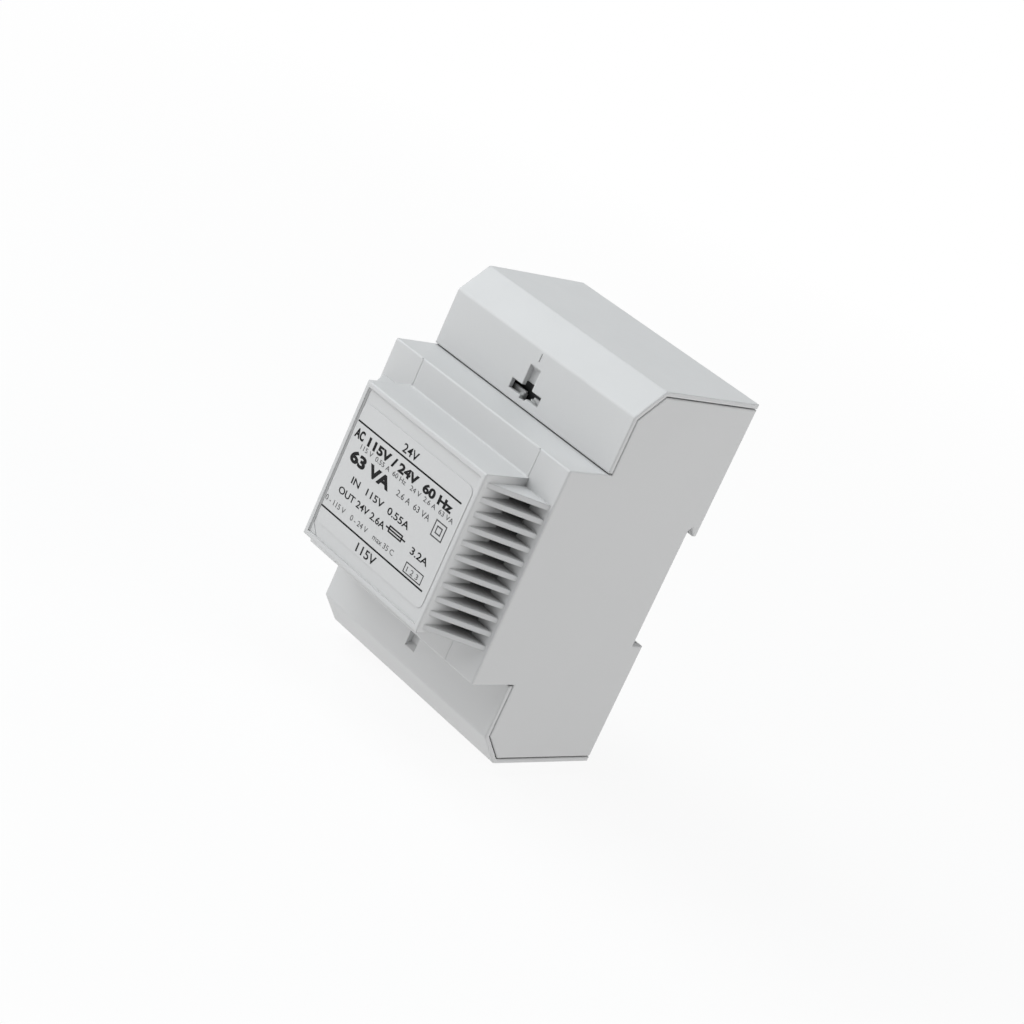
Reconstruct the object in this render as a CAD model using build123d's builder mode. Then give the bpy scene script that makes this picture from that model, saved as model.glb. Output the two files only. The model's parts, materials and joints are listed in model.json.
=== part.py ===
from build123d import *
import os
from math import atan2, tan, pi

# Mains transformer for a 35 mm top-hat rail. Sizes in millimetres.
# Origin at the middle of the rail seat, +Z up, +X to the right, front towards -Y.

# Outer form
width = 76.4
height = 116.2
shoulder_depth = 43.3  # rail seat to the front of the terminal covers
hood_depth = 58.2  # rail seat to the front of the hood
block_depth = 74.0  # rail seat to the front of the label block
block_width = 52.8
block_height = 47.7
cover_height = 25.5  # end face to shoulder
chamfer_run = 8.0
chamfer_rise = 8.4
wall = 2.0
cover_wall = 1.4
edge_radius = 0.5
bend_radius = 1.2  # folds of the covers
rim_radius = 0.4  # round the ends of the covers

# Clearances
seam = 0.3  # hairline between housing pieces
cover_gap = 0.4  # under the front edge of the covers
slip = 0.3  # pieces that slide into one another
press = 0.05  # inserts in their bores, screws in their threads

# Rail slot
rail_height = 35.0
slot_depth = 4.0  # seat to rear plane
rail_gap_top = 0.5
rail_gap_low = 1.9  # room to swing the housing off the rail
hook_overlap = 1.1  # hook tip behind the rail's upper lip
hook_tip = 1.2
hook_root = 0.8  # seat to the deepest point of the hook's pocket
hook_pocket = 1.2  # above the slot
seat_relief = 0.3  # slot floor behind the seat land
seat_height = 28.0

# Louvres beside the label block
fin_count = 11
fin_margin = 2.45  # block end to the middle of the last fin, before the drop
fin_drop = 0.55  # fins below the block's middle
fin_thickness = 1.5
fin_setback = 1.6  # behind the block's front
fin_edge = 1.2  # inside the hood's side
vent_forward = 4.0  # open corner along the block's side
vent_outward = 4.2  # open corner along the hood's front

# Front details
panel_inset = 0.7  # inside the block's width
panel_groove = 0.3  # width and depth of the lines beside the panel
label_rim = 1.6
label_recess = 0.5
label_gap_x = 0.7  # recess to label
label_gap_z = 3.85
label_radius = 2.2
label_thickness = 0.2

# Cover catch and its cross-shaped window
window_width = 12.4
window_height = 2.9
window_lift = 2.9  # shoulder to the cross bar
limb_width = 4.2
limb_height = 6.2  # above the cross bar
limb_depth = 1.9
limb_ramp = 1.3  # rise of the limb's sloping end
limb_gap = 1.2  # cross bar to the limb's floor
limb_wall = 1.0
stub_width = 2.4
stub_height = 0.8  # below the cross bar
catch_radius = 8.0
catch_height = 3.6
catch_thickness = 1.6
catch_slot = 3.2  # for the tip of a screwdriver
skirt_wall = 1.2
skirt_depth = 3.0

# Base plate
base_wall = 2.6
pillar_width = 9.0
entry_width = 12.0
entry_height = 7.5
entry_spacing = 40.0

# Hood screws
boss_width = 6.8
boss_length = 16.0
boss_inset = 4.2  # side wall to boss axis
boss_drop = 13.1  # end face to boss axis
hood_screw_diameter = 3.0
hood_screw_length = 12.0
hood_head_diameter = 5.6
hood_head_height = 1.5

# Rail latch
latch_width = 15.4
latch_thickness = 2.6
latch_flange = 2.5  # each side, under the lips
latch_lip = 1.3
latch_hook = 1.5  # behind the rail's lower lip
latch_ramp = 1.8
latch_inset = 0.2  # behind the rear plane
latch_toe = 0.5  # above the end face
latch_travel = 4.0
latch_window_width = 10.0
latch_window_height = 18.0
latch_window_low = 12.0  # end face to the window
latch_slit_width = 6.0
latch_slit_height = 1.6
latch_slit_lift = 3.0
peg_width = 8.0
peg_height = 2.2
spring_strip = 0.5
spring_width = 1.7
spring_span = 7.0
spring_bends = 5
spring_bend_radius = 0.9

# Laminated core, size EI66 in this housing
leg_ratio = 6  # lamination width over outer leg
core_gap_x = 3.2  # core to side wall
core_gap_z = 3.1  # core to shoulder
core_gap_front = 6.8  # core to hood
coil_room = 5.35  # core window to the hollow of the label block
coil_gap = 1.0  # coil to base plate
core_hole_diameter = 4.6

# Coil
former_wall = 1.2
former_gap = 0.3  # former to core
flange_margin = 0.4
flange_rim = 0.8  # former beyond the tape
winding_gap = 1.0  # tape to core
winding_radius = 5.0
tape = 0.5

# Core screws
screw_diameter = 4.0
screw_head_width = 7.0  # across the flats
screw_head_height = 2.8
washer_diameter = 9.0
washer_thickness = 0.8
insert_width = 6.0  # across the flats
insert_length = 8.0
recess_width = 1.0  # driver slots
recess_depth = 1.0

# Terminals
pole_pitch = 14.0
block_end = 8.0  # pole axis to the block's end
terminal_depth = 17.0
terminal_height = 15.0
terminal_gap = 1.6  # behind the catch
cage_width = 7.0
cage_depth = 8.0
cage_height = 9.0
cage_wall = 0.9
cage_floor = 3.6  # under the cage
cage_clearance = 0.2
clamp_screw_diameter = 3.4
clamp_head_diameter = 5.6
clamp_head_height = 2.0
clamp_head_inset = 1.2
clamp_screw_reach = 2.2  # inside the cage
bar_width = 4.4
bar_thickness = 1.0
lead_diameter = 2.0
lead_gap = 3.3  # core to lead axis
lead_inset = 2.0  # lead axis to the end of the solder tail
lead_hole_diameter = 4.0

# Main planes
rear = slot_depth
cover_front = -shoulder_depth
hood_front = -hood_depth
block_front = -block_depth
top = height / 2
shoulder = top - cover_height
side = width / 2
inner_side = side - wall
plate_front = rear - base_wall
seat_front = -base_wall - seat_relief
chamfer_angle = atan2(chamfer_rise, chamfer_run)

rail_half = rail_height / 2
slot_top = rail_half + rail_gap_top
slot_low = -rail_half - rail_gap_low
rail_slot = [
    (rear, rail_half - hook_overlap),
    (rear - hook_tip, rail_half - hook_overlap),
    (hook_root, slot_top + hook_pocket),
    (-seat_relief, slot_top),
    (-seat_relief, slot_low),
    (rear, slot_low),
]


def cover_line(inset, rear_end=rear, low_end=shoulder):
    # Profile of the upper cover as (y, z), moved inwards by a distance
    return [
        (rear_end, top - inset),
        (cover_front + chamfer_run + inset * tan(chamfer_angle / 2), top - inset),
        (cover_front + inset, top - chamfer_rise - inset * tan((pi / 2 - chamfer_angle) / 2)),
        (cover_front + inset, low_end),
    ]


def save(piece, label):
    piece.label = label
    export_step(piece, f"parts/{label}.step")


os.makedirs("parts", exist_ok=True)

# Core and coil sizes and their positions along the depth
lam_width = 2 * (inner_side - core_gap_x)
lam_height = 2 * (shoulder - wall - core_gap_z)
lam_leg = lam_width / leg_ratio
core_leg = 2 * lam_leg
lam_window_x = (lam_width - core_leg) / 2 - lam_leg
lam_window_z = block_height - 2 * wall - 2 * coil_room
lam_yoke = (lam_height - lam_window_z) / 2
winding_depth = lam_window_x - former_gap - former_wall - tape - winding_gap
coil_overhang = former_gap + former_wall + winding_depth + tape + flange_rim
coil_rear = seat_front - coil_gap
core_rear = coil_rear - coil_overhang
core_front = hood_front + wall + core_gap_front
core_middle = (core_rear + core_front) / 2
stack = core_rear - core_front
core_hole_x = lam_width - lam_leg
core_hole_z = lam_height - lam_yoke

# Terminal positions in the upper compartment
catch_front = cover_front + cover_wall + slip
terminal_front = catch_front + catch_thickness + terminal_gap
terminal_rear = terminal_front + terminal_depth
cage_low = shoulder + cage_floor
clamp_axis = cage_low + cage_height / 2
cage_middle = terminal_front + clamp_head_inset + clamp_head_height + cage_clearance + cage_depth / 2
bar_low = shoulder + cage_floor - cage_clearance - bar_thickness
lead_y = core_rear + lead_gap
bar_end = lead_y + lead_inset

# Base plate, boss and latch positions
plate_width = 2 * (inner_side - seam)
plate_half = top - cover_wall - seam
boss_spacing_x = 2 * (inner_side - boss_inset)
boss_spacing_z = 2 * (top - boss_drop)
latch_rear = rear - latch_inset
latch_front = latch_rear - latch_thickness
channel_floor = latch_front - slip
lip_front = rear - latch_lip
channel_half = latch_width / 2 + slip
flange_half = latch_width / 2 + latch_flange + slip
window_low = -top + latch_window_low
window_high = window_low + latch_window_height
peg_low = window_low + seam
channel_front = channel_floor - base_wall
channel_side = flange_half + base_wall

# Louvre levels
fin_pitch = (block_height - 2 * fin_margin) / (fin_count - 1)
fin_levels = [(i - (fin_count - 1) / 2) * fin_pitch - fin_drop for i in range(fin_count)]
vent_levels = [level + fin_pitch / 2 for level in fin_levels[:-1]]

# Housing: side walls, hood with two shoulders, label block, louvres
with BuildPart() as housing:
    with BuildSketch(Plane.YZ.offset(inner_side)):
        upper_edge = cover_line(cover_wall + seam)
        lower_edge = [(y, -z) for y, z in reversed(upper_edge)]
        with BuildLine():
            Polyline(*upper_edge, *lower_edge, close=True)
        make_face()
        with Locations((hood_front, 0)):
            Rectangle(hood_depth, 2 * shoulder, align=(Align.MIN, Align.CENTER))
        with BuildLine():
            Polyline(*rail_slot, close=True)
        make_face(mode=Mode.SUBTRACT)
    extrude(amount=wall)
    mirror(about=Plane.YZ)

    with BuildSketch(Plane.YZ):
        partition_depth = hood_depth + plate_front - seam
        with Locations((hood_front, 0)):
            Rectangle(partition_depth, 2 * shoulder, align=(Align.MIN, Align.CENTER))
        with Locations((hood_front + wall, 0)):
            Rectangle(
                partition_depth,
                2 * (shoulder - wall),
                align=(Align.MIN, Align.CENTER),
                mode=Mode.SUBTRACT,
            )
    extrude(amount=side, both=True)

    with Locations((0, block_front, 0)):
        Box(
            block_width,
            block_depth - hood_depth + wall,
            block_height,
            align=(Align.CENTER, Align.MIN, Align.CENTER),
        )
    block_face = housing.faces().sort_by(Axis.Y)[0]
    side_faces = housing.faces().filter_by(Axis.X).group_by(Axis.X)
    hood_edges = housing.edges().filter_by(Axis.X).group_by(Axis.Y)[1]
    fillet(block_face.edges() + side_faces[0].edges() + side_faces[-1].edges() + hood_edges, edge_radius)
    with Locations((0, block_front + wall + label_recess, 0)):
        Box(
            block_width - 2 * wall,
            block_depth - hood_depth,
            block_height - 2 * wall,
            align=(Align.CENTER, Align.MIN, Align.CENTER),
            mode=Mode.SUBTRACT,
        )

    for level in fin_levels:
        with BuildSketch(Plane.XY.offset(level - fin_thickness / 2)):
            with BuildLine():
                Polyline(
                    (block_width / 2, hood_front),
                    (block_width / 2, block_front + fin_setback),
                    (side - fin_edge, hood_front),
                    close=True,
                )
            make_face()
            mirror(about=Plane.YZ)
        extrude(amount=fin_thickness)

    vent_x = block_width / 2 + vent_outward / 2 - wall / 2
    with Locations(*[(s * vent_x, hood_front + wall, z) for s in (-1, 1) for z in vent_levels]):
        Box(
            vent_outward + wall,
            vent_forward + wall,
            fin_pitch - fin_thickness,
            align=(Align.CENTER, Align.MAX, Align.CENTER),
            mode=Mode.SUBTRACT,
        )

    panel_half = block_width / 2 - panel_inset
    with BuildSketch(Plane.XZ.offset(hood_depth)):
        with Locations((-panel_half, block_height / 2), (panel_half, block_height / 2)):
            Rectangle(panel_groove, shoulder - block_height / 2, align=(Align.CENTER, Align.MIN))
    extrude(amount=-panel_groove, mode=Mode.SUBTRACT)
    with BuildSketch(Plane.XZ.offset(block_depth)):
        Rectangle(block_width - 2 * label_rim, block_height - 2 * label_rim)
    extrude(amount=-label_recess, mode=Mode.SUBTRACT)

    with BuildSketch(Plane.XZ.offset(-catch_front - catch_thickness)):
        with Locations((0, shoulder + catch_height - catch_radius)):
            Circle(catch_radius)
        with Locations((0, shoulder)):
            Rectangle(
                2 * catch_radius,
                catch_height,
                align=(Align.CENTER, Align.MIN),
                mode=Mode.INTERSECT,
            )
            Rectangle(
                catch_slot,
                catch_height,
                align=(Align.CENTER, Align.MIN),
                mode=Mode.SUBTRACT,
            )
        mirror(about=Plane.XZ)
    extrude(amount=catch_thickness)

    with BuildSketch(Plane.XZ.offset(-plate_front)):
        with GridLocations(boss_spacing_x, boss_spacing_z, 2, 2):
            Rectangle(boss_width, boss_width)
        web_width = side - wall / 2 - boss_spacing_x / 2
        with GridLocations(boss_spacing_x + web_width, boss_spacing_z, 2, 2):
            Rectangle(web_width, wall)
    extrude(amount=boss_length)
    with BuildSketch(Plane.XZ.offset(-plate_front)):
        with GridLocations(boss_spacing_x, boss_spacing_z, 2, 2):
            Circle(hood_screw_diameter / 2 + press)
    extrude(amount=hood_screw_length, mode=Mode.SUBTRACT)

    with Locations((0, lead_y, 0)):
        with GridLocations(pole_pitch, 0, 2, 1):
            Cylinder(lead_hole_diameter / 2, 2 * shoulder, mode=Mode.SUBTRACT)
    with Locations((0, channel_front - seam, -shoulder)):
        Box(
            2 * (channel_side + seam),
            rear - channel_front,
            wall,
            align=(Align.CENTER, Align.MIN, Align.MIN),
            mode=Mode.SUBTRACT,
        )
save(housing.part, "housing")

# Base plate: rear wall with the rail slot, fixed hook, latch channel and cable entries
with BuildPart() as base_plate:
    with BuildSketch(Plane.YZ):
        with Locations((rear, 0)):
            Rectangle(base_wall, 2 * plate_half, align=(Align.MAX, Align.CENTER))
        with Locations((seat_front, slot_low - base_wall)):
            trough_height = slot_top + hook_pocket - slot_low + 2 * base_wall
            Rectangle(rear - seat_front, trough_height, align=(Align.MIN, Align.MIN))
    extrude(amount=plate_width / 2, both=True)
    with BuildSketch(Plane.XZ.offset(-plate_front)):
        with GridLocations(core_hole_x, core_hole_z, 2, 2):
            Rectangle(pillar_width, pillar_width)
    extrude(amount=plate_front - core_rear)
    with BuildSketch(Plane.YZ):
        with BuildLine():
            Polyline(*rail_slot, close=True)
        make_face()
    extrude(amount=plate_width / 2, both=True, mode=Mode.SUBTRACT)
    with Locations((0, 0, 0)):
        Box(
            plate_width,
            seat_relief,
            seat_height,
            align=(Align.CENTER, Align.MAX, Align.CENTER),
        )

    channel_length = plate_half + slot_low
    with Locations((0, channel_front, -plate_half)):
        Box(
            2 * channel_side,
            rear - channel_front,
            channel_length,
            align=(Align.CENTER, Align.MIN, Align.MIN),
        )
    with Locations((0, channel_floor, -plate_half)):
        Box(
            2 * channel_half,
            rear - channel_floor,
            channel_length,
            align=(Align.CENTER, Align.MIN, Align.MIN),
            mode=Mode.SUBTRACT,
        )
        Box(
            2 * flange_half,
            lip_front - channel_floor,
            channel_length - base_wall,
            align=(Align.CENTER, Align.MIN, Align.MIN),
            mode=Mode.SUBTRACT,
        )
    with Locations((0, channel_floor, peg_low)):
        Box(
            peg_width,
            latch_rear - channel_floor,
            peg_height,
            align=(Align.CENTER, Align.MIN, Align.MIN),
        )

    with BuildSketch(Plane.XZ.offset(-core_rear)):
        with GridLocations(core_hole_x, core_hole_z, 2, 2):
            RegularPolygon(insert_width / 2 + press, 6, major_radius=False)
    extrude(amount=-insert_length, mode=Mode.SUBTRACT)

    with BuildSketch(Plane.XZ.offset(-rear)):
        with GridLocations(boss_spacing_x, boss_spacing_z, 2, 2):
            Circle(hood_screw_diameter / 2 + slip)
    extrude(amount=base_wall, mode=Mode.SUBTRACT)
    with BuildSketch(Plane.XZ.offset(-rear)):
        with GridLocations(boss_spacing_x, boss_spacing_z, 2, 2):
            Circle(hood_head_diameter / 2 + slip)
    extrude(amount=hood_head_height, mode=Mode.SUBTRACT)

    with BuildSketch(Plane.XZ.offset(-rear)):
        with GridLocations(entry_spacing, 2 * plate_half - entry_height, 2, 2):
            Rectangle(entry_width, entry_height)
    extrude(amount=base_wall, mode=Mode.SUBTRACT)
save(base_plate.part, "base_plate")

# Screws that hold the base plate to the housing
with BuildPart() as base_screws:
    with BuildSketch(Plane.XZ.offset(-rear + hood_head_height)):
        with GridLocations(boss_spacing_x, boss_spacing_z, 2, 2):
            Circle(hood_screw_diameter / 2)
    extrude(amount=hood_screw_length - hood_head_height)
    with BuildSketch(Plane.XZ.offset(-rear + latch_inset)):
        with GridLocations(boss_spacing_x, boss_spacing_z, 2, 2):
            Circle(hood_head_diameter / 2)
            Rectangle(hood_head_diameter, recess_width, mode=Mode.SUBTRACT)
    extrude(amount=hood_head_height - latch_inset)
    with BuildSketch(Plane.XZ.offset(-rear + hood_head_height)):
        with GridLocations(boss_spacing_x, boss_spacing_z, 2, 2):
            Circle(hood_head_diameter / 2)
    extrude(amount=-recess_depth / 2)
save(base_screws.part, "base_screws")

# Terminal covers: folded plates with locating skirts and a cross-shaped catch window
with BuildPart() as top_cover:
    with BuildSketch(Plane.YZ):
        with BuildLine():
            cover_low = shoulder + cover_gap
            cover_outer = cover_line(0, low_end=cover_low)
            cover_inner = cover_line(cover_wall, low_end=cover_low)
            Polyline(*cover_outer, *reversed(cover_inner), close=True)
        make_face()
    extrude(amount=side, both=True)
    long_edges = top_cover.edges().filter_by(Axis.X)
    outer_bends = [
        long_edges.sort_by_distance((0, *cover_outer[1]))[0],
        long_edges.sort_by_distance((0, *cover_outer[2]))[0],
    ]
    fillet(outer_bends, bend_radius)
    end_faces = top_cover.faces().filter_by(Axis.X)
    fillet(end_faces.edges(), rim_radius)
    with BuildSketch(Plane.YZ.offset(inner_side - slip - skirt_wall)):
        skirt_rear = plate_front - slip
        skirt_outer = cover_line(cover_wall, skirt_rear)
        skirt_inner = cover_line(cover_wall + skirt_depth, skirt_rear)
        with BuildLine():
            Polyline(*skirt_outer, *reversed(skirt_inner), close=True)
        make_face()
    extrude(amount=skirt_wall)
    mirror(about=Plane.YZ)
    bar_top = shoulder + window_lift + window_height
    with Locations((0, cover_front + cover_wall, bar_top + limb_gap)):
        Box(
            limb_width + 2 * limb_wall,
            limb_depth + limb_wall - cover_wall,
            limb_height - limb_gap + limb_wall,
            align=(Align.CENTER, Align.MIN, Align.MIN),
        )
    with BuildSketch(Plane.YZ):
        with BuildLine():
            Polyline(
                (cover_front, bar_top),
                (cover_front + limb_depth, bar_top),
                (cover_front + limb_depth, bar_top + limb_height - limb_ramp),
                (cover_front, bar_top + limb_height),
                close=True,
            )
        make_face()
    extrude(amount=limb_width / 2, both=True, mode=Mode.SUBTRACT)
    with BuildSketch(Plane.XZ.offset(shoulder_depth)):
        with Locations((0, bar_top)):
            Rectangle(window_width, window_height, align=(Align.CENTER, Align.MAX))
            Rectangle(stub_width, window_height + stub_height, align=(Align.CENTER, Align.MAX))
    extrude(amount=-cover_wall, mode=Mode.SUBTRACT)
save(top_cover.part, "top_terminal_cover")

with BuildPart() as bottom_cover:
    mirror(top_cover.part, about=Plane.XY)
    with Locations((0, rear, -top)):
        Box(
            2 * channel_half,
            rear - channel_floor,
            cover_wall,
            align=(Align.CENTER, Align.MAX, Align.MIN),
            mode=Mode.SUBTRACT,
        )
save(bottom_cover.part, "bottom_terminal_cover")

# Rating label in the recess of the block
with BuildPart() as rating_label:
    with BuildSketch(Plane.XZ.offset(block_depth - label_recess)):
        label_width = block_width - 2 * label_rim - 2 * label_gap_x
        label_height = block_height - 2 * label_rim - 2 * label_gap_z
        RectangleRounded(label_width, label_height, label_radius)
    extrude(amount=label_thickness)
save(rating_label.part, "rating_label")

# Rail latch: slides down in its channel to free the rail
latch_low = -top + latch_toe
latch_top = latch_hook - rail_half
flange_top = slot_low - base_wall - slip
with BuildPart() as rail_latch:
    with BuildSketch(Plane.YZ):
        with BuildLine():
            Polyline(
                (latch_front, latch_low),
                (latch_rear, latch_low),
                (latch_rear, latch_top - latch_ramp),
                (latch_rear - latch_ramp, latch_top),
                (latch_front, latch_top),
                close=True,
            )
        make_face()
    extrude(amount=latch_width / 2, both=True)
    flange_low = -plate_half + latch_travel + slip
    with Locations((0, latch_front, flange_low)):
        Box(
            latch_width + 2 * latch_flange,
            lip_front - slip - latch_front,
            flange_top - flange_low,
            align=(Align.CENTER, Align.MIN, Align.MIN),
        )
    with Locations((0, latch_front, window_low)):
        Box(
            latch_window_width,
            latch_thickness,
            latch_window_height,
            align=(Align.CENTER, Align.MIN, Align.MIN),
            mode=Mode.SUBTRACT,
        )
    with Locations((0, latch_front, latch_low + latch_slit_lift)):
        Box(
            latch_slit_width,
            latch_thickness,
            latch_slit_height,
            align=(Align.CENTER, Align.MIN, Align.MIN),
            mode=Mode.SUBTRACT,
        )
save(rail_latch.part, "rail_latch")

# Latch spring: folded strip between the peg and the top of the latch window
with BuildPart() as latch_spring:
    spring_low = peg_low + peg_height
    spring_rise = (window_high - spring_low - spring_strip) / spring_bends
    spring_points = [
        (spring_span / 2 * (-1) ** bend, spring_low + spring_strip / 2 + bend * spring_rise)
        for bend in range(spring_bends + 1)
    ]
    with BuildSketch(Plane.XZ.offset(-latch_front - spring_width - slip)):
        with BuildLine():
            spring_path = FilletPolyline(*spring_points, radius=spring_bend_radius)
        trace(spring_path, line_width=spring_strip)
    extrude(amount=spring_width)
save(latch_spring.part, "latch_spring")

# Core: E stack below, I stack above, joined on the window's upper edge
with BuildPart() as core_e_stack:
    with BuildSketch(Plane.XZ.offset(-core_rear)):
        with Locations((0, -lam_height / 2)):
            Rectangle(lam_width, lam_height - lam_yoke, align=(Align.CENTER, Align.MIN))
        with GridLocations(core_leg + lam_window_x, 0, 2, 1):
            Rectangle(lam_window_x, lam_window_z, mode=Mode.SUBTRACT)
        with Locations((0, -core_hole_z / 2)):
            with GridLocations(core_hole_x, 0, 2, 1):
                Circle(core_hole_diameter / 2, mode=Mode.SUBTRACT)
    extrude(amount=stack)
save(core_e_stack.part, "core_e_stack")

with BuildPart() as core_i_stack:
    with BuildSketch(Plane.XZ.offset(-core_rear)):
        with Locations((0, core_hole_z / 2)):
            Rectangle(lam_width, lam_yoke)
            with GridLocations(core_hole_x, 0, 2, 1):
                Circle(core_hole_diameter / 2, mode=Mode.SUBTRACT)
    extrude(amount=stack)
save(core_i_stack.part, "core_i_stack")

# Coil former with a dividing flange between the two windings
tube_x = core_leg + 2 * former_gap + 2 * former_wall
tube_y = stack + 2 * former_gap + 2 * former_wall
flange_x = core_leg + 2 * lam_window_x - 2 * flange_margin
flange_y = stack + 2 * coil_overhang
former_height = lam_window_z - 2 * former_gap
with BuildPart() as coil_former:
    with Locations((0, core_middle, 0)):
        Box(tube_x, tube_y, former_height)
        with Locations(*[(0, 0, s * (former_height - former_wall) / 2) for s in (-1, 0, 1)]):
            Box(flange_x, flange_y, former_wall)
        Box(tube_x - 2 * former_wall, tube_y - 2 * former_wall, former_height, mode=Mode.SUBTRACT)
save(coil_former.part, "coil_former")

# Windings in the two chambers, each under a wrap of tape
chamber = (former_height - 3 * former_wall) / 2
chamber_middle = (chamber + former_wall) / 2
winding_height = chamber - 2 * press
for node, level in [("secondary", chamber_middle), ("primary", -chamber_middle)]:
    with BuildPart() as winding:
        with BuildSketch(Plane.XY.offset(level - winding_height / 2)):
            with Locations((0, core_middle)):
                RectangleRounded(tube_x + 2 * winding_depth, tube_y + 2 * winding_depth, winding_radius)
                Rectangle(tube_x + 2 * press, tube_y + 2 * press, mode=Mode.SUBTRACT)
        extrude(amount=winding_height)
    save(winding.part, f"{node}_winding")

    with BuildPart() as winding_tape:
        with BuildSketch(Plane.XY.offset(level - winding_height / 2)):
            with Locations((0, core_middle)):
                wrap_x = tube_x + 2 * winding_depth
                wrap_y = tube_y + 2 * winding_depth
                RectangleRounded(wrap_x + 2 * tape, wrap_y + 2 * tape, winding_radius + tape)
                RectangleRounded(wrap_x, wrap_y, winding_radius, mode=Mode.SUBTRACT)
        extrude(amount=winding_height)
    save(winding_tape.part, f"{node}_tape")

# Core screws, washers and the threaded inserts in the base plate's pillars
with BuildPart() as core_washers:
    with BuildSketch(Plane.XZ.offset(-core_front)):
        with GridLocations(core_hole_x, core_hole_z, 2, 2):
            Circle(washer_diameter / 2)
            Circle(screw_diameter / 2 + press, mode=Mode.SUBTRACT)
    extrude(amount=washer_thickness)
save(core_washers.part, "core_washers")

head_rear = core_front - washer_thickness
with BuildPart() as core_screws:
    with BuildSketch(Plane.XZ.offset(-head_rear)):
        with GridLocations(core_hole_x, core_hole_z, 2, 2):
            Circle(screw_diameter / 2)
    extrude(amount=head_rear - core_rear - insert_length)
    with BuildSketch(Plane.XZ.offset(-head_rear)):
        with GridLocations(core_hole_x, core_hole_z, 2, 2):
            RegularPolygon(screw_head_width / 2, 6, major_radius=False)
    extrude(amount=screw_head_height)
save(core_screws.part, "core_screws")

with BuildPart() as core_inserts:
    with BuildSketch(Plane.XZ.offset(-core_rear)):
        with GridLocations(core_hole_x, core_hole_z, 2, 2):
            RegularPolygon(insert_width / 2, 6, major_radius=False)
            Circle(screw_diameter / 2 + press, mode=Mode.SUBTRACT)
    extrude(amount=-insert_length)
save(core_inserts.part, "core_inserts")

# Terminal block on the upper shoulder, two poles with screw access from the front
with BuildPart() as top_block:
    with Locations((0, terminal_front, shoulder)):
        Box(
            pole_pitch + 2 * block_end,
            terminal_depth,
            terminal_height,
            align=(Align.CENTER, Align.MIN, Align.MIN),
        )
    with Locations((0, cage_middle, cage_low - cage_clearance)):
        with GridLocations(pole_pitch, 0, 2, 1):
            Box(
                cage_width + 2 * cage_clearance,
                cage_depth + 2 * cage_clearance,
                terminal_height,
                align=(Align.CENTER, Align.CENTER, Align.MIN),
                mode=Mode.SUBTRACT,
            )
    with BuildSketch(Plane.XZ.offset(-terminal_front)):
        with Locations((0, clamp_axis)):
            with GridLocations(pole_pitch, 0, 2, 1):
                Circle(clamp_head_diameter / 2 + slip)
    extrude(amount=-clamp_head_inset - clamp_head_height - cage_clearance, mode=Mode.SUBTRACT)
    with Locations((0, cage_middle, bar_low)):
        with GridLocations(pole_pitch, 0, 2, 1):
            Box(
                bar_width + 2 * cage_clearance,
                terminal_depth,
                bar_thickness + cage_clearance,
                align=(Align.CENTER, Align.MIN, Align.MIN),
                mode=Mode.SUBTRACT,
            )
save(top_block.part, "top_terminal_block")

# Clamp cages: square steel tubes that the wire end goes into from above
with BuildPart() as top_cages:
    with BuildSketch(Plane.XY.offset(cage_low)):
        with Locations((0, cage_middle)):
            with GridLocations(pole_pitch, 0, 2, 1):
                Rectangle(cage_width, cage_depth)
                Rectangle(cage_width - 2 * cage_wall, cage_depth - 2 * cage_wall, mode=Mode.SUBTRACT)
    extrude(amount=cage_height)
    with BuildSketch(Plane.XZ.offset(-cage_middle + cage_depth / 2)):
        with Locations((0, clamp_axis)):
            with GridLocations(pole_pitch, 0, 2, 1):
                Circle(clamp_screw_diameter / 2 + press)
    extrude(amount=-cage_wall, mode=Mode.SUBTRACT)
save(top_cages.part, "top_clamp_cages")

clamp_head_rear = cage_middle - cage_depth / 2
with BuildPart() as top_screws:
    with BuildSketch(Plane.XZ.offset(-clamp_head_rear)):
        with Locations((0, clamp_axis)):
            with GridLocations(pole_pitch, 0, 2, 1):
                Circle(clamp_screw_diameter / 2)
    extrude(amount=-cage_wall - clamp_screw_reach)
    with BuildSketch(Plane.XZ.offset(-clamp_head_rear)):
        with Locations((0, clamp_axis)):
            with GridLocations(pole_pitch, 0, 2, 1):
                Circle(clamp_head_diameter / 2)
    extrude(amount=clamp_head_height)
    with BuildSketch(Plane.XZ.offset(-clamp_head_rear + clamp_head_height)):
        with Locations((0, clamp_axis)):
            with GridLocations(pole_pitch, 0, 2, 1):
                Rectangle(recess_width, clamp_head_diameter)
    extrude(amount=-recess_depth, mode=Mode.SUBTRACT)
save(top_screws.part, "top_terminal_screws")

# Contact bars: from inside the cage, down and out behind the block as a solder tail
bar_front = cage_middle + cage_depth / 2 - cage_wall - press - bar_thickness
with BuildPart() as top_bars:
    with BuildSketch(Plane.YZ):
        with BuildLine():
            Polyline(
                (bar_front, cage_low + cage_height - press),
                (bar_front, bar_low),
                (bar_end, bar_low),
                (bar_end, bar_low + bar_thickness),
                (bar_front + bar_thickness, bar_low + bar_thickness),
                (bar_front + bar_thickness, cage_low + cage_height - press),
                close=True,
            )
        make_face()
    extrude(amount=bar_width / 2, both=True)
with BuildPart() as top_contacts:
    with GridLocations(pole_pitch, 0, 2, 1):
        add(top_bars.part)
save(top_contacts.part, "top_contact_bars")

# Leads from the coil former up through the shoulder to the solder tails
with BuildPart() as secondary_leads:
    with BuildSketch(Plane.XY.offset(former_height / 2)):
        with Locations((0, lead_y)):
            with GridLocations(pole_pitch, 0, 2, 1):
                Circle(lead_diameter / 2)
    extrude(amount=bar_low - former_height / 2)
save(secondary_leads.part, "secondary_leads")

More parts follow.
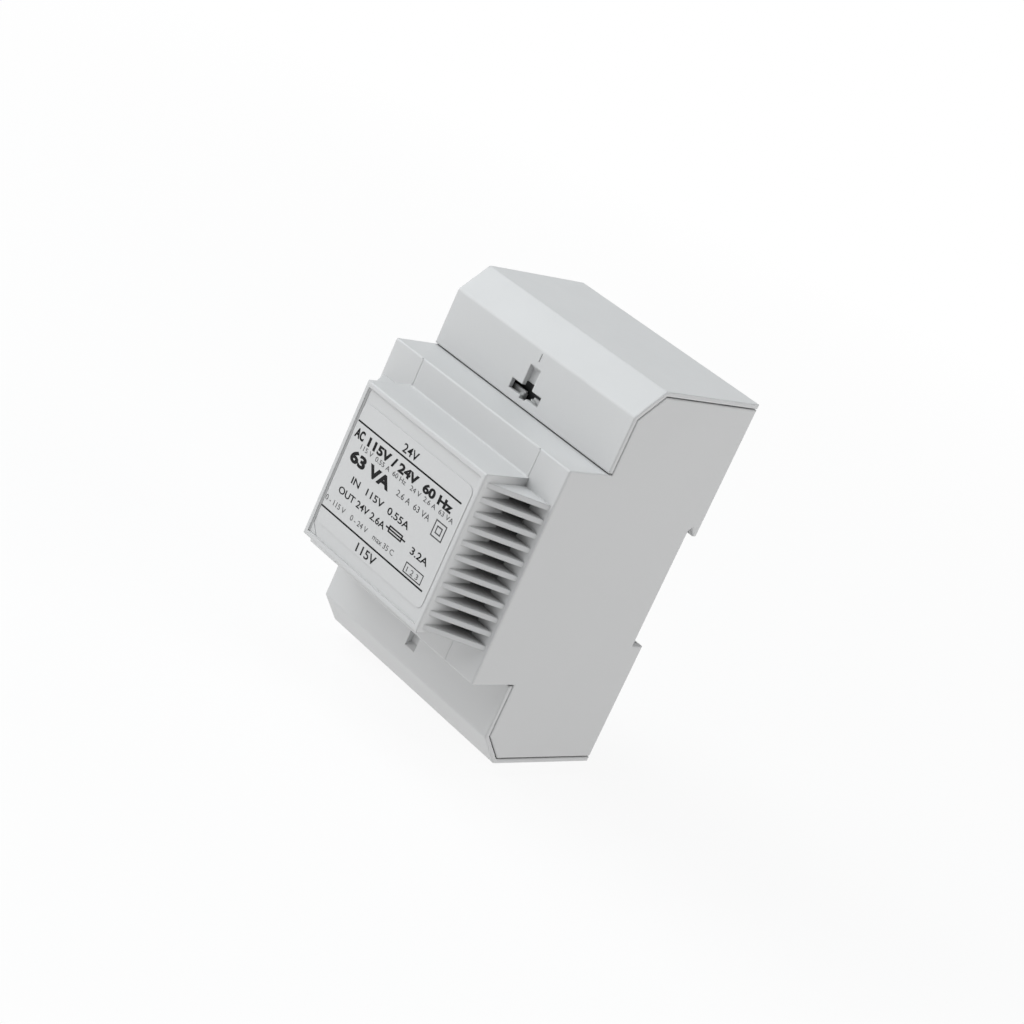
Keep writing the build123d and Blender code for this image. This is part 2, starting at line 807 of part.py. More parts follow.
# Lower terminal set, the upper one mirrored about the rail's axis
for source, label in [
    (top_block, "bottom_terminal_block"),
    (top_cages, "bottom_clamp_cages"),
    (top_screws, "bottom_terminal_screws"),
    (top_contacts, "bottom_contact_bars"),
    (secondary_leads, "primary_leads"),
]:
    with BuildPart() as lower_piece:
        mirror(source.part, about=Plane.XY)
    save(lower_piece.part, label)
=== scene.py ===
import bpy
import bmesh
import json
import math
from mathutils import Matrix, Quaternion, Vector


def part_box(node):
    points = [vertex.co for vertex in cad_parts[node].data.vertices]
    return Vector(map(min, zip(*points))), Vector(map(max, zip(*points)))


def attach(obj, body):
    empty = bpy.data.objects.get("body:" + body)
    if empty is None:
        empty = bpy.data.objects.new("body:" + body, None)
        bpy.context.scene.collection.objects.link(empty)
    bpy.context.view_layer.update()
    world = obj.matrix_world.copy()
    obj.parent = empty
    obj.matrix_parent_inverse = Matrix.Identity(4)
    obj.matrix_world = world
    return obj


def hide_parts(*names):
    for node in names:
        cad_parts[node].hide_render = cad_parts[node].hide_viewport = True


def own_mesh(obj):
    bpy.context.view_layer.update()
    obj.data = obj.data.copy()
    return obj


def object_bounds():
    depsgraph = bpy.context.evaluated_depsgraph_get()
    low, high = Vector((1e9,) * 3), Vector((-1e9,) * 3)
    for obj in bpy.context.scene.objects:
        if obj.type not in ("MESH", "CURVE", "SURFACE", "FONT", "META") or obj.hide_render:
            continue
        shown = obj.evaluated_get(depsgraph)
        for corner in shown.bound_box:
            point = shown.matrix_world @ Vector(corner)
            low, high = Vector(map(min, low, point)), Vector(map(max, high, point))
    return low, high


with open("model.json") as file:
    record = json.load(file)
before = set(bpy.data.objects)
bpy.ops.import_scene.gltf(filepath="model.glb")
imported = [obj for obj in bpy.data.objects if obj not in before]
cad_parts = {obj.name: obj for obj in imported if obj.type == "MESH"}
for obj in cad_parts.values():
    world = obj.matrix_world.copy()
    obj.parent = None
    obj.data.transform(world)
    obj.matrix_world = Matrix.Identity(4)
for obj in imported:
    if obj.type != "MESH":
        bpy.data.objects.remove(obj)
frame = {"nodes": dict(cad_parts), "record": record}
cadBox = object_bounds()  # before anything is added
print("frame loaded,", len(frame["nodes"]), "nodes")

mm = 0.001
mainBody = "transformer"
shaderSamples = {"hollow": 8, "edge": 4}
slotOf = {part["node"]: part["material_slot"] for part in frame["record"]["subparts"]}


# shader helpers, all textures run on object coordinates in metres

def newFinish(name):
    finish = bpy.data.materials.new(name)
    finish.use_nodes = True
    tree = finish.node_tree
    where = tree.nodes.new("ShaderNodeTexCoord").outputs["Object"]
    return finish, tree, tree.nodes["Principled BSDF"], where


def noiseAt(tree, where, size, detail=2.0, stretch=None):
    if stretch:
        mapping = tree.nodes.new("ShaderNodeMapping")
        mapping.inputs["Scale"].default_value = stretch
        tree.links.new(where, mapping.inputs["Vector"])
        where = mapping.outputs["Vector"]
    noise = tree.nodes.new("ShaderNodeTexNoise")
    noise.inputs["Scale"].default_value = 1 / size
    noise.inputs["Detail"].default_value = detail
    tree.links.new(where, noise.inputs["Vector"])
    return noise.outputs["Fac"]


def bandsAt(tree, where, pitch, axis, wobble):
    # a full turn of the wave is 2 pi over 20 units of scale
    wave = tree.nodes.new("ShaderNodeTexWave")
    wave.bands_direction = axis
    wave.inputs["Scale"].default_value = math.pi / (10 * pitch)
    wave.inputs["Distortion"].default_value = wobble
    wave.inputs["Detail"].default_value = 0
    tree.links.new(where, wave.inputs["Vector"])
    return wave.outputs["Fac"]


def spread(tree, source, low, high, start=0.3, end=0.7):
    ranged = tree.nodes.new("ShaderNodeMapRange")
    ranged.inputs["From Min"].default_value = start
    ranged.inputs["From Max"].default_value = end
    ranged.inputs["To Min"].default_value = low
    ranged.inputs["To Max"].default_value = high
    tree.links.new(source, ranged.inputs["Value"])
    return ranged.outputs["Result"]


def toneBetween(tree, factor, dark, light):
    mix = tree.nodes.new("ShaderNodeMix")
    mix.data_type = "RGBA"
    mix.inputs["A"].default_value = (*dark, 1)
    mix.inputs["B"].default_value = (*light, 1)
    tree.links.new(factor, mix.inputs["Factor"])
    return mix.outputs["Result"]


def bumpFrom(tree, height, depth, strength, under=None):
    bump = tree.nodes.new("ShaderNodeBump")
    bump.inputs["Strength"].default_value = strength
    bump.inputs["Distance"].default_value = depth
    tree.links.new(height, bump.inputs["Height"])
    if under:
        tree.links.new(under, bump.inputs["Normal"])
    return bump.outputs["Normal"]


def shade(tone, factor):
    return tuple(channel * factor for channel in tone)


def paintedHollowShade(tree, reach, openShare, darkest):
    # painted shade for joints and pockets, darker the less of the air around them is open
    hollow = tree.nodes.new("ShaderNodeAmbientOcclusion")
    hollow.samples = shaderSamples["hollow"]
    hollow.inputs["Distance"].default_value = reach
    return spread(tree, hollow.outputs["AO"], darkest, 1.0, 0.0, openShare)


def darkenBy(tree, tone, factor):
    mix = tree.nodes.new("ShaderNodeMix")
    mix.data_type = "RGBA"
    mix.blend_type = "MULTIPLY"
    mix.inputs["Factor"].default_value = 1
    tree.links.new(tone, mix.inputs["A"])
    tree.links.new(factor, mix.inputs["B"])
    return mix.outputs["Result"]


def softEdges(tree, radius):
    rounded = tree.nodes.new("ShaderNodeBevel")
    rounded.samples = shaderSamples["edge"]
    rounded.inputs["Radius"].default_value = radius
    return rounded.outputs["Normal"]


# moulded plastics: fine spark-eroded grain, faint flow clouds, uneven gloss, painted shade in joints
# and pockets

def mouldedPlastic(name, look):
    finish, tree, shader, where = newFinish(name)
    cloud = noiseAt(tree, where, look["cloudSize"])
    pigment = noiseAt(tree, where, look["pigmentSize"], detail=1.0)
    toneMix = tree.nodes.new("ShaderNodeMath")
    toneMix.operation = "MULTIPLY"
    tree.links.new(spread(tree, cloud, *look["cloudRange"]), toneMix.inputs[0])
    tree.links.new(spread(tree, pigment, *look["pigmentRange"]), toneMix.inputs[1])
    darker = shade(look["tone"], 1 - look["toneSpread"])
    tone = toneBetween(tree, toneMix.outputs["Value"], darker, look["tone"])
    # painted shade: base colour darkened where the air around is closed, in joints, seams and louvre
    # pockets
    paintedShade = paintedHollowShade(tree, look["paintedShadeReach"], look["paintedShadeOpen"], look["paintedShadeDarkest"])
    tree.links.new(darkenBy(tree, tone, paintedShade), shader.inputs["Base Color"])
    sheen = noiseAt(tree, where, look["sheenSize"], detail=3.0)
    tree.links.new(spread(tree, sheen, *look["roughness"]), shader.inputs["Roughness"])
    grain = noiseAt(tree, where, look["grainSize"])
    edges = softEdges(tree, look["edgeRadius"])
    surface = bumpFrom(tree, grain, look["grainDepth"], look["grainStrength"], edges)
    tree.links.new(surface, shader.inputs["Normal"])
    shader.inputs["IOR"].default_value = look["ior"]
    shader.inputs["Specular IOR Level"].default_value = look["specular"]
    return finish


lightGrey = {
    "tone": (0.604, 0.606, 0.607),
    "toneSpread": 0.035,
    "cloudSize": 0.045,
    "cloudRange": (0.6, 1.0),
    "pigmentSize": 0.00044,
    "pigmentRange": (0.8, 1.0),
    "sheenSize": 0.009,
    "roughness": (0.44, 0.52),
    "grainSize": 0.00022,
    "grainDepth": 0.00002,
    "grainStrength": 0.25,
    "edgeRadius": 0.0005,
    # reach, openness and darkest level of the painted shade in joints and pockets
    "paintedShadeReach": 0.006,
    "paintedShadeOpen": 0.36,
    "paintedShadeDarkest": 0.3,
    "ior": 1.48,
    "specular": 0.4,
}
coverGrey = {**lightGrey, "tone": (0.606, 0.609, 0.610)}
baseGrey = {**lightGrey, "tone": (0.570, 0.575, 0.578), "roughness": (0.42, 0.52)}
latchBlack = {
    **lightGrey,
    "tone": (0.045, 0.046, 0.049),
    "toneSpread": 0.25,
    "grainStrength": 0.4,
}
formerBlack = {**latchBlack, "tone": (0.030, 0.030, 0.031), "roughness": (0.45, 0.6)}
terminalGrey = {**latchBlack, "tone": (0.075, 0.077, 0.082)}

finishes = {
    "housing_plastic": mouldedPlastic("housingGrey", lightGrey),
    "cover_plastic": mouldedPlastic("coverGrey", coverGrey),
    "base_plastic": mouldedPlastic("baseGrey", baseGrey),
    "latch_plastic": mouldedPlastic("latchBlack", latchBlack),
    "former_plastic": mouldedPlastic("formerBlack", formerBlack),
    "terminal_plastic": mouldedPlastic("terminalGrey", terminalGrey),
}
print("plastics ready")


# metals: rolled or plated, with drawn-out streaks and dull patches

def rolledMetal(name, look):
    finish, tree, shader, where = newFinish(name)
    streak = noiseAt(tree, where, look["streakSize"], detail=3.0, stretch=look["streakStretch"])
    tone = toneBetween(tree, spread(tree, streak, 0, 1), look["dark"], look["light"])
    tree.links.new(tone, shader.inputs["Base Color"])
    patch = noiseAt(tree, where, look["patchSize"], detail=4.0)
    tree.links.new(spread(tree, patch, *look["roughness"]), shader.inputs["Roughness"])
    surface = bumpFrom(tree, streak, look["depth"], look["strength"])
    tree.links.new(surface, shader.inputs["Normal"])
    shader.inputs["Metallic"].default_value = look["metallic"]
    return finish


zincLook = {
    "dark": (0.50, 0.51, 0.53),
    "light": (0.72, 0.73, 0.74),
    "streakSize": 0.0006,
    "streakStretch": (1, 1, 0.25),
    "patchSize": 0.003,
    "roughness": (0.25, 0.42),
    "depth": 0.00001,
    "strength": 0.3,
    "metallic": 1.0,
}
springLook = {
    **zincLook,
    "dark": (0.28, 0.29, 0.31),
    "light": (0.46, 0.47, 0.49),
    "streakStretch": (0.2, 1, 1),
}
brassLook = {
    **zincLook,
    "dark": (0.55, 0.40, 0.16),
    "light": (0.76, 0.60, 0.30),
    "roughness": (0.22, 0.36),
}
finishes["zinc_steel"] = rolledMetal("zincPlate", zincLook)
finishes["spring_steel"] = rolledMetal("springStrip", springLook)
finishes["brass"] = rolledMetal("brightBrass", brassLook)
print("metals ready")


# core: stacked sheets seen on edge, under thin varnish

def laminatedCore(name, look):
    finish, tree, shader, where = newFinish(name)
    sheets = bandsAt(tree, where, look["sheet"], "Y", look["sheetWobble"])
    varnish = noiseAt(tree, where, look["varnishSize"], detail=4.0)
    tone = toneBetween(tree, sheets, look["gap"], look["steel"])
    tree.links.new(tone, shader.inputs["Base Color"])
    tree.links.new(spread(tree, varnish, *look["roughness"]), shader.inputs["Roughness"])
    steps = bumpFrom(tree, sheets, look["ridge"], look["ridgeStrength"])
    surface = bumpFrom(tree, varnish, look["ridge"], look["varnishStrength"], steps)
    tree.links.new(surface, shader.inputs["Normal"])
    shader.inputs["Metallic"].default_value = look["metallic"]
    return finish


coreLook = {
    "sheet": 0.0005,
    "sheetWobble": 0.4,
    "gap": (0.030, 0.030, 0.032),
    "steel": (0.085, 0.087, 0.092),
    "varnishSize": 0.004,
    "varnishStrength": 0.2,
    "roughness": (0.35, 0.55),
    "ridge": 0.00005,
    "ridgeStrength": 0.6,
    "metallic": 0.7,
}
finishes["core_steel"] = laminatedCore("varnishedCore", coreLook)


# coil: enamelled turns side by side, black wrap over them

def woundCopper(name, look):
    finish, tree, shader, where = newFinish(name)
    turns = bandsAt(tree, where, look["wire"], "Z", look["turnWobble"])
    enamel = noiseAt(tree, where, look["enamelSize"], detail=3.0)
    # painted shade in the grooves between the turns, dark copper between light
    tone = toneBetween(tree, turns, look["between"], look["copper"])
    tree.links.new(tone, shader.inputs["Base Color"])
    tree.links.new(spread(tree, enamel, *look["roughness"]), shader.inputs["Roughness"])
    surface = bumpFrom(tree, turns, look["wire"] * look["turnDepth"], look["turnStrength"])
    tree.links.new(surface, shader.inputs["Normal"])
    shader.inputs["Metallic"].default_value = look["metallic"]
    return finish


def wrapTape(name, look):
    finish, tree, shader, where = newFinish(name)
    laps = bandsAt(tree, where, look["lap"], "Z", look["lapWobble"])
    creases = noiseAt(tree, where, look["creaseSize"], detail=4.0, stretch=look["creaseStretch"])
    tone = toneBetween(tree, laps, shade(look["tone"], look["lapShade"]), look["tone"])
    tree.links.new(tone, shader.inputs["Base Color"])
    tree.links.new(spread(tree, creases, *look["roughness"]), shader.inputs["Roughness"])
    surface = bumpFrom(tree, creases, look["depth"], look["strength"])
    tree.links.new(surface, shader.inputs["Normal"])
    return finish


copperLook = {
    "wire": 0.0007,
    "turnWobble": 0.8,
    "turnDepth": 1 / 3,  # of the wire
    "turnStrength": 0.8,
    # painted shade in the grooves between turns
    "between": (0.12, 0.035, 0.012),
    "copper": (0.55, 0.20, 0.075),
    "enamelSize": 0.002,
    "roughness": (0.22, 0.38),
    "metallic": 0.85,
}
tapeLook = {
    "lap": 0.0035,
    "lapWobble": 0.5,
    "lapShade": 0.7,
    "tone": (0.030, 0.029, 0.028),
    "creaseSize": 0.004,
    "creaseStretch": (0.4, 0.4, 1.6),
    "roughness": (0.24, 0.42),
    "depth": 0.0001,
    "strength": 0.4,
}
sleeveLook = {
    **lightGrey,
    "tone": (0.45, 0.045, 0.035),
    "toneSpread": 0.12,
    "roughness": (0.3, 0.42),
}
finishes["winding_copper"] = woundCopper("woundCopper", copperLook)
finishes["winding_tape"] = wrapTape("blackWrap", tapeLook)
finishes["lead_insulation"] = mouldedPlastic("leadSleeve", sleeveLook)
print("core and coil ready")


# label film and its ink

def labelFilm(name, look):
    finish, tree, shader, where = newFinish(name)
    fibre = noiseAt(tree, where, look["fibreSize"], detail=3.0, stretch=look["fibreStretch"])
    cloud = noiseAt(tree, where, look["cloudSize"])
    darker = shade(look["tone"], 1 - look["toneSpread"])
    tone = toneBetween(tree, spread(tree, fibre, 0, 1), darker, look["tone"])
    tree.links.new(tone, shader.inputs["Base Color"])
    tree.links.new(spread(tree, cloud, *look["roughness"]), shader.inputs["Roughness"])
    surface = bumpFrom(tree, fibre, look["depth"], look["strength"])
    tree.links.new(surface, shader.inputs["Normal"])
    shader.inputs["Specular IOR Level"].default_value = look["specular"]
    return finish


filmLook = {
    "tone": (0.612, 0.613, 0.614),
    "toneSpread": 0.02,
    "fibreSize": 0.0006,
    "fibreStretch": (1, 1, 0.3),
    "cloudSize": 0.02,
    "roughness": (0.38, 0.46),
    "specular": 0.45,
    "depth": 0.00001,
    "strength": 0.15,
}
inkLook = {
    **filmLook,
    "tone": (0.012, 0.012, 0.013),
    "toneSpread": 0.3,
    "roughness": (0.45, 0.6),
    "specular": 0.12,
}
finishes["label_film"] = labelFilm("labelFilm", filmLook)
labelInk = labelFilm("labelInk", inkLook)
greyInk = labelFilm("greyInk", {**inkLook, "tone": (0.090, 0.090, 0.092)})

for nodeName, nodeObject in frame["nodes"].items():
    nodeObject.data.materials.clear()
    nodeObject.data.materials.append(finishes[slotOf[nodeName]])
print("finishes on", len(slotOf), "nodes")


# mesh helpers

def keepPiece(name, mesh, finish, body=mainBody):
    piece = bpy.data.objects.new(name, mesh)
    bpy.context.collection.objects.link(piece)
    piece.data.materials.clear()
    piece.data.materials.append(finish)
    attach(piece, body)
    return piece


def addSlab(shape, low, high):
    # closed box between two corners, given in millimetres
    size = [(b - a) * mm for a, b in zip(low, high)]
    middle = [(a + b) / 2 * mm for a, b in zip(low, high)]
    place = Matrix.Translation(middle) @ Matrix.Diagonal((*size, 1))
    bmesh.ops.create_cube(shape, size=1, matrix=place)


def addPrism(shape, nearSpots, farSpots):
    # closed prism between two like outlines, given in millimetres
    near = [shape.verts.new([part * mm for part in spot]) for spot in nearSpots]
    far = [shape.verts.new([part * mm for part in spot]) for spot in farSpots]
    shape.faces.new(near)
    shape.faces.new(reversed(far))
    for i in range(len(near)):
        j = (i + 1) % len(near)
        shape.faces.new((near[i], far[i], far[j], near[j]))
    bmesh.ops.recalc_face_normals(shape, faces=shape.faces)


def finishShape(shape, name):
    mesh = bpy.data.meshes.new(name)
    shape.to_mesh(mesh)
    shape.free()
    return mesh


# print on the label: rules, plain values, signs and small grey lines

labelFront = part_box("rating_label")[0].y / mm
inkHeight = 0.03
printLayout = {
    "curveSteps": 4,
    "rules": ((-23.9, 12.8, 22.2), (-24.2, -13.75, 22.2)),  # left, level, right
    "ruleWidth": 0.5,
    # words, then left, low, right and high of the field they fill, then added weight
    "values": (
        ("24V", -4.7, 13.75, 1.9, 16.35, 0.06),
        ("115V", -5.8, -17.7, 2.7, -15.1, 0.06),
        ("115V / 24V  60 Hz", -17.3, 8.35, 20.2, 11.2, 0.26),
        ("AC", -23.2, 8.35, -19.2, 11.2, 0.26),
        ("63 VA", -21.4, 1.8, -3.5, 5.5, 0.36),
        ("IN  115V  0.55A", -17.3, -3.1, 8.7, -1.0, 0.06),
        ("OUT 24V 2.6A", -20.4, -7.6, 0.6, -5.5, 0.06),
        ("3.2A", 12.6, -7.7, 20.0, -5.6, 0.06),
    ),
    "small": (
        ("115 V  0.55 A  60 Hz   24 V  2.6 A  63 VA", -19.1, 6.5, 22.2, 7.9, 0.0),
        ("2.6 A  63 VA", -0.3, 2.75, 14.2, 4.5, 0.0),
        ("0 - 115 V    0 - 24 V    max 35 C", -23.9, -11.7, 7.4, -10.1, 0.0),
        ("1 2 3", 14.0, -12.4, 18.9, -10.9, 0.0),
    ),
}


def flatText(words):
    # flat letters, stretched to fill their field
    text, left, low, right, high, weight = words
    curve = bpy.data.curves.new("words", "FONT")
    curve.body = text
    curve.size = high - low
    curve.offset = weight / 2
    curve.extrude = inkHeight / 2
    curve.resolution_u = printLayout["curveSteps"]
    carrier = bpy.data.objects.new("words", curve)
    bpy.context.collection.objects.link(carrier)
    bpy.context.view_layer.update()
    filled = carrier.evaluated_get(bpy.context.evaluated_depsgraph_get())
    mesh = bpy.data.meshes.new_from_object(filled)
    bpy.data.objects.remove(carrier)
    across = [vertex.co.x for vertex in mesh.vertices]
    upward = [vertex.co.y for vertex in mesh.vertices]
    wide = (right - left) / (max(across) - min(across))
    tall = (high - low) / (max(upward) - min(upward))
    toOrigin = Matrix.Translation((-min(across), -min(upward), 0))
    stretch = Matrix.Diagonal((wide * mm, tall * mm, mm, 1))
    standing = Matrix.Rotation(math.pi / 2, 4, "X")
    there = Matrix.Translation((left * mm, (labelFront - inkHeight / 2) * mm, low * mm))
    mesh.transform(there @ standing @ stretch @ toOrigin)
    return mesh


def inkBar(shape, left, low, right, high):
    addSlab(shape, (left, labelFront - inkHeight, low), (right, labelFront, high))


def inkFrame(shape, left, low, right, high, line):
    inkBar(shape, left, low, right, low + line)
    inkBar(shape, left, high - line, right, high)
    inkBar(shape, left, low + line, left + line, high - line)
    inkBar(shape, right - line, low + line, right, high - line)


printGroups = (("labelValues", "values", labelInk), ("labelSmallPrint", "small", greyInk))
for pieceName, group, ink in printGroups:
    letters = bmesh.new()
    for words in printLayout[group]:
        letters.from_mesh(flatText(words))
    keepPiece(pieceName, finishShape(letters, pieceName), ink)

rules = bmesh.new()
for left, level, right in printLayout["rules"]:
    half = printLayout["ruleWidth"] / 2
    inkBar(rules, left, level - half, right, level + half)
keepPiece("labelRules", finishShape(rules, "labelRules"), labelInk)

signs = {
    "squares": ((16.5, 0.3, 21.2, 5.1), (17.7, 1.55, 20.0, 3.85)),  # one in the other
    "squareLine": 0.36,
    "fuse": (2.2, -7.05, 8.2, -5.0),
    "fuseWire": (1.0, 9.6),
    "fuseLine": 0.45,
    "numberBox": (12.9, -13.0, 20.6, -9.95),
    "numberLine": 0.28,
}
squares = bmesh.new()
for square in signs["squares"]:
    inkFrame(squares, *square, signs["squareLine"])
bmesh.ops.recalc_face_normals(squares, faces=squares.faces)
keepPiece("labelSquares", finishShape(squares, "labelSquares"), greyInk)

marks = bmesh.new()
inkFrame(marks, *signs["fuse"], signs["fuseLine"])
fuseLevel = (signs["fuse"][1] + signs["fuse"][3]) / 2
fuseHalf = signs["fuseLine"] / 2
wireLeft, wireRight = signs["fuseWire"]
inkBar(marks, wireLeft, fuseLevel - fuseHalf, wireRight, fuseLevel + fuseHalf)
inkFrame(marks, *signs["numberBox"], signs["numberLine"])
bmesh.ops.recalc_face_normals(marks, faces=marks.faces)
keepPiece("labelSigns", finishShape(marks, "labelSigns"), labelInk)
print("label printed")


# thin corner tab in the label's recess, where the film is lifted out

housingFinish = finishes["housing_plastic"]
cornerTab = {"corner": (-24.8, -22.25), "leg": 3.4, "proud": 0.12, "recess": 0.5}
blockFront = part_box("housing")[0].y / mm
tabFloor = blockFront + cornerTab["recess"]
tabX, tabZ = cornerTab["corner"]
tabFront = tabFloor - cornerTab["proud"]
tabSpots = ((tabX, tabZ), (tabX + cornerTab["leg"], tabZ), (tabX, tabZ + cornerTab["leg"]))
tab = bmesh.new()
addPrism(tab, [(x, tabFloor, z) for x, z in tabSpots], [(x, tabFront, z) for x, z in tabSpots])
keepPiece("labelCornerTab", finishShape(tab, "labelCornerTab"), housingFinish)
print("label tab set")


# slope at the foot of the recess's left wall, beside the film

recessSlope = {"wall": -24.8, "foot": 0.66, "rise": 0.4, "end": 22.2, "sunk": 0.05}
slopeEnd = recessSlope["end"]
slopeLeft = recessSlope["wall"] - recessSlope["sunk"]
slopeRight = recessSlope["wall"] + recessSlope["foot"]
slopeRear = tabFloor + recessSlope["sunk"]
slopeFront = tabFloor - recessSlope["rise"]
slopeSpots = ((slopeLeft, slopeRear), (slopeRight, slopeRear), (slopeLeft, slopeFront))
slope = bmesh.new()
addPrism(slope, [(x, y, -slopeEnd) for x, y in slopeSpots], [(x, y, slopeEnd) for x, y in slopeSpots])
keepPiece("recessSlope", finishShape(slope, "recessSlope"), housingFinish)
print("recess slope set")


# low ridges along the lines beside the hood's two panels

panelRidge = {
    "across": 25.7,
    "hoodFront": -58.2,
    "width": 0.7,
    "proud": 0.03,
    "depth": 0.25,
    "from": 24.0,
    "to": 32.2,
}
ridgeFront = panelRidge["hoodFront"] - panelRidge["proud"]
ridgeRear = panelRidge["hoodFront"] + panelRidge["depth"]
ridges = bmesh.new()
for sideX in (-1, 1):
    for sideZ in (-1, 1):
        low, high = sorted((sideZ * panelRidge["from"], sideZ * panelRidge["to"]))
        middle = sideX * panelRidge["across"]
        half = panelRidge["width"] / 2
        addSlab(ridges, (middle - half, ridgeFront, low), (middle + half, ridgeRear, high))
keepPiece("panelRidges", finishShape(ridges, "panelRidges"), housingFinish)
print("panel ridges set")


# lips on the shoulders that the covers snap behind, seen through the cross windows

catchLip = {
    "inner": 1.75,
    "outer": 7.0,
    "foot": 32.6,
    "rise": 4.0,
    "behind": 2.5,
    "thick": 0.6,
}
lipTop = catchLip["foot"] + catchLip["rise"]
lips = bmesh.new()
for coverName, side in (("top_terminal_cover", 1), ("bottom_terminal_cover", -1)):
    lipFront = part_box(coverName)[0].y / mm + catchLip["behind"]
    low, high = sorted((side * catchLip["foot"], side * lipTop))
    lipRear = lipFront + catchLip["thick"]
    addSlab(lips, (-catchLip["outer"], lipFront, low), (-catchLip["inner"], lipRear, high))
    addSlab(lips, (catchLip["inner"], lipFront, low), (catchLip["outer"], lipRear, high))
keepPiece("catchLips", finishShape(lips, "catchLips"), housingFinish)
print("catch lips set")


# faint raised line over the upper cover's catch window

catchMark = {
    "cover": "top_terminal_cover",
    "from": 46.4,
    "to": 48.7,
    "width": 0.4,
    "proud": 0.14,
}
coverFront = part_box(catchMark["cover"])[0].y / mm
halfWidth = catchMark["width"] / 2
rib = bmesh.new()
addSlab(
    rib,
    (-halfWidth, coverFront - catchMark["proud"], catchMark["from"]),
    (halfWidth, coverFront, catchMark["to"]),
)
keepPiece("coverMark", finishShape(rib, "coverMark"), finishes["cover_plastic"])
print("cover mark set")


# folded spring strip, a copy of the CAD spring carried by the main body

strip = frame["nodes"]["latch_spring"].data.copy()
spring = keepPiece("latchSpringStrip", strip, finishes["spring_steel"])
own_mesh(spring)
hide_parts("latch_spring")


# floor: white to the eye, glowing in part toward the object so that it lights it from below, keeps
# the soft shadow

floorLook = {
    "reach": 40.0,
    "tone": (0.9, 0.9, 0.9),
    "whiteSeen": 0.9,
    # share of glow in the light the floor sends onto the object
    "whiteBounced": 0.6,
    "clearFrom": 0.15,  # pure white beyond the shadow
    "clearTo": 0.9,
    "drop": 0.0045,  # room for the pulled latch
}


def seenDirectly(tree):
    # camera, mirror and glass rays
    path = tree.nodes.new("ShaderNodeLightPath")
    first = tree.nodes.new("ShaderNodeMath")
    first.operation = "MAXIMUM"
    tree.links.new(path.outputs["Is Camera Ray"], first.inputs[0])
    tree.links.new(path.outputs["Is Glossy Ray"], first.inputs[1])
    second = tree.nodes.new("ShaderNodeMath")
    second.operation = "MAXIMUM"
    tree.links.new(first.outputs["Value"], second.inputs[0])
    tree.links.new(path.outputs["Is Transmission Ray"], second.inputs[1])
    return second.outputs["Value"]


def paperFloor(look):
    finish = bpy.data.materials.new("paperFloor")
    finish.use_nodes = True
    tree = finish.node_tree
    tree.nodes.clear()
    paper = tree.nodes.new("ShaderNodeBsdfDiffuse")
    paper.inputs["Color"].default_value = (*look["tone"], 1)
    white = tree.nodes.new("ShaderNodeEmission")
    away = tree.nodes.new("ShaderNodeVectorMath")
    away.operation = "LENGTH"
    tree.links.new(tree.nodes.new("ShaderNodeTexCoord").outputs["Object"], away.inputs[0])
    distance = away.outputs["Value"]
    seen = spread(tree, distance, look["whiteSeen"], 1.0, look["clearFrom"], look["clearTo"])
    share = spread(tree, seenDirectly(tree), look["whiteBounced"], 1.0, 0, 1)
    tree.links.new(seen, share.node.inputs["To Max"])
    mix = tree.nodes.new("ShaderNodeMixShader")
    tree.links.new(share, mix.inputs["Fac"])
    tree.links.new(paper.outputs["BSDF"], mix.inputs[1])
    tree.links.new(white.outputs["Emission"], mix.inputs[2])
    out = tree.nodes.new("ShaderNodeOutputMaterial")
    tree.links.new(mix.outputs["Shader"], out.inputs["Surface"])
    return finish


floorShape = bmesh.new()
bmesh.ops.create_grid(floorShape, x_segments=1, y_segments=1, size=floorLook["reach"] / 2)
floor = bpy.data.objects.new("floor", finishShape(floorShape, "floor"))
floor.location.z = cadBox[0].z - floorLook["drop"]
floor.data.materials.append(paperFloor(floorLook))
bpy.context.collection.objects.link(floor)

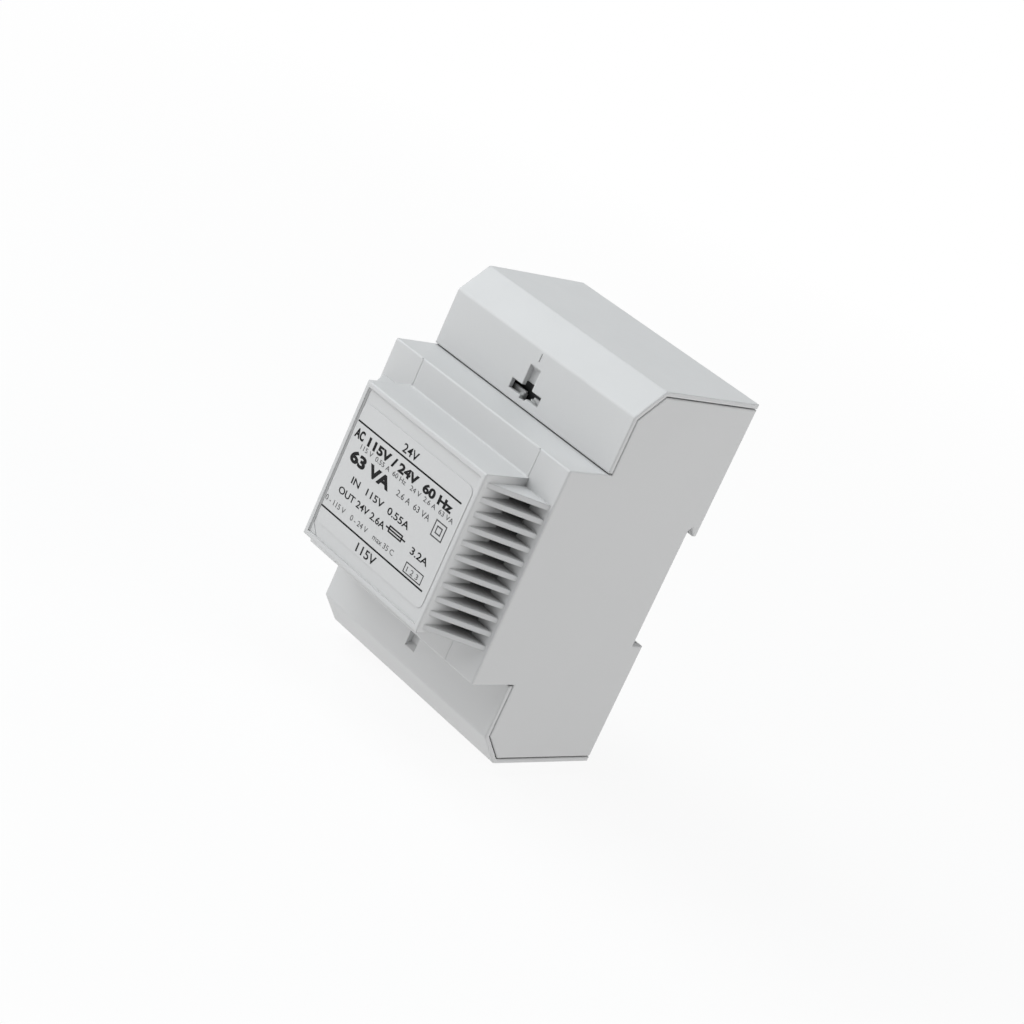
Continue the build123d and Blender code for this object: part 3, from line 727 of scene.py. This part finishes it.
skyLook = {"tone": (1.0, 1.0, 1.0), "light": 0.10, "seen": 1.0}
world = bpy.data.worlds.new("whiteTent")
world.use_nodes = True
bpy.context.scene.world = world
sky = world.node_tree
glow = sky.nodes["Background"]
glow.inputs["Color"].default_value = (*skyLook["tone"], 1)
brightness = sky.nodes.new("ShaderNodeMapRange")
brightness.inputs["To Min"].default_value = skyLook["light"]
brightness.inputs["To Max"].default_value = skyLook["seen"]
sky.links.new(seenDirectly(sky), brightness.inputs["Value"])
sky.links.new(brightness.outputs["Result"], glow.inputs["Strength"])

# softboxes: where they hang, how wide, how strong, daylight or neutral
daylight = (0.94, 0.98, 1.0)
neutral = (1.0, 1.0, 1.0)
lamps = {
    "rightBack": {"place": (1.25, 0.50, 0.40), "width": 0.8, "watts": 7.6, "tint": neutral},
    "upperLeft": {"place": (-0.90, -0.52, 1.05), "width": 0.8, "watts": 7.7, "tint": daylight},
    "top": {"place": (0, -0.10, 1.45), "width": 0.9, "watts": 5.4, "tint": daylight},
    "frontLeft": {"place": (-1.10, -0.90, 0.42), "width": 0.9, "watts": 9.2, "tint": neutral},
    "frontTop": {"place": (-0.15, -1.05, 1.05), "width": 0.9, "watts": 4.2, "tint": daylight},
}
subject = Vector((0, -0.035, 0))
for name, lamp in lamps.items():
    light = bpy.data.lights.new(name, "AREA")
    light.size = lamp["width"]
    light.energy = lamp["watts"]
    light.color = lamp["tint"]
    box = bpy.data.objects.new(name, light)
    box.location = lamp["place"]
    box.rotation_mode = "QUATERNION"
    box.rotation_quaternion = (subject - box.location).to_track_quat("-Z", "Y")
    bpy.context.collection.objects.link(box)

# camera: from the right and a little above, rolled so that the part leans
eye = {
    "place": (0.4256, -0.5348, 0.2120),
    "aim": (0.0032, -0.0311, 0.0022),
    "roll": 24.55,
    "lens": 87.27,
    "sensor": 36.0,
}
lens = bpy.data.cameras.new("eye")
lens.lens = eye["lens"]
lens.sensor_width = eye["sensor"]
camera = bpy.data.objects.new("eye", lens)
camera.location = eye["place"]
camera.rotation_mode = "QUATERNION"
facing = (Vector(eye["aim"]) - camera.location).to_track_quat("-Z", "Y")
camera.rotation_quaternion = facing @ Quaternion((0, 0, 1), math.radians(eye["roll"]))
bpy.context.collection.objects.link(camera)
bpy.context.scene.camera = camera
bpy.context.scene.view_settings.view_transform = "Standard"
print("studio set")
